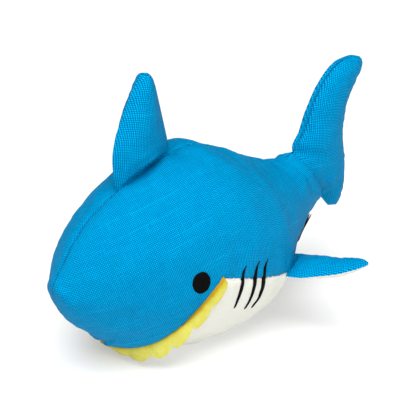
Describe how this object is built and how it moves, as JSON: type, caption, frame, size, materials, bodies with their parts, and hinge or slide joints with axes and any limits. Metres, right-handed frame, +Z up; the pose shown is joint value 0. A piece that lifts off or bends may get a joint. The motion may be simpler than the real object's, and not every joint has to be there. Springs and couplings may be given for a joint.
{
  "type": "plush shark",
  "caption": "Stuffed shark of woven fabric with a pale belly, felt teeth, embroidered eyes and gills, and soft fins that bend at their seams.",
  "frame": {"origin": "middle of the toy's box, on the surface that it rests on", "axes": "+Z up, -Y towards the nose, +Y towards the tail, +X towards the shark's left side"},
  "size_m": [0.1618, 0.2408, 0.1754],
  "materials": {
    "blue_fabric": "satin",
    "white_fabric": "matte",
    "filling": "matte",
    "yellow_felt": "matte",
    "black_embroidery": "satin",
    "seam_thread": "satin",
    "label_fabric": "satin"
  },
  "bodies": {
    "trunk": {"side_panel_left": "blue_fabric", "side_panel_right": "blue_fabric", "belly_panel": "white_fabric", "body_stuffing": "filling", "teeth_strip": "yellow_felt", "eye_left": "black_embroidery", "eye_right": "black_embroidery", "gill_stitches_left": "black_embroidery", "gill_stitches_right": "black_embroidery", "back_seam_thread": "seam_thread"},
    "dorsal_fin": {"dorsal_panel_left": "blue_fabric", "dorsal_panel_right": "blue_fabric", "dorsal_stuffing": "filling"},
    "left_fin": {"left_fin_top_panel": "blue_fabric", "left_fin_bottom_panel": "white_fabric", "left_fin_stuffing": "filling"},
    "right_fin": {"right_fin_top_panel": "blue_fabric", "right_fin_bottom_panel": "white_fabric", "right_fin_stuffing": "filling"},
    "tail_fin": {"tail_panel_left": "blue_fabric", "tail_panel_right": "blue_fabric", "tail_stuffing": "filling", "tail_topstitching": "seam_thread"},
    "label": {"side_label": "label_fabric"}
  },
  "joints": [
    {"name": "dorsal_fin_bend", "type": "hinge", "parent": "trunk", "child": "dorsal_fin", "pos_m": [0, -0.05475, 0.1165], "axis": [0, 0.9368, 0.3498], "range_deg": [-25, 25], "stiffness_Nm_per_rad": 0.08},
    {"name": "left_fin_flap", "type": "hinge", "parent": "trunk", "child": "left_fin", "pos_m": [0.042, 0.026, 0.04475], "axis": [0.5779, -0.8159, 0.017], "range_deg": [-20, 30], "stiffness_Nm_per_rad": 0.06},
    {"name": "right_fin_flap", "type": "hinge", "parent": "trunk", "child": "right_fin", "pos_m": [-0.042, 0.026, 0.04475], "axis": [0.5779, 0.8159, -0.017], "range_deg": [-20, 30], "stiffness_Nm_per_rad": 0.06},
    {"name": "tail_wag", "type": "hinge", "parent": "trunk", "child": "tail_fin", "pos_m": [0, 0.074, 0.076], "axis": [0, -0.4856, 0.8742], "range_deg": [-30, 30], "stiffness_Nm_per_rad": 0.15},
    {"name": "label_flap", "type": "hinge", "parent": "trunk", "child": "label", "pos_m": [0.02255, 0.0535, 0.052], "axis": [0.444, -0.8457, -0.296], "range_deg": [0, 80], "stiffness_Nm_per_rad": 0.002}
  ]
}
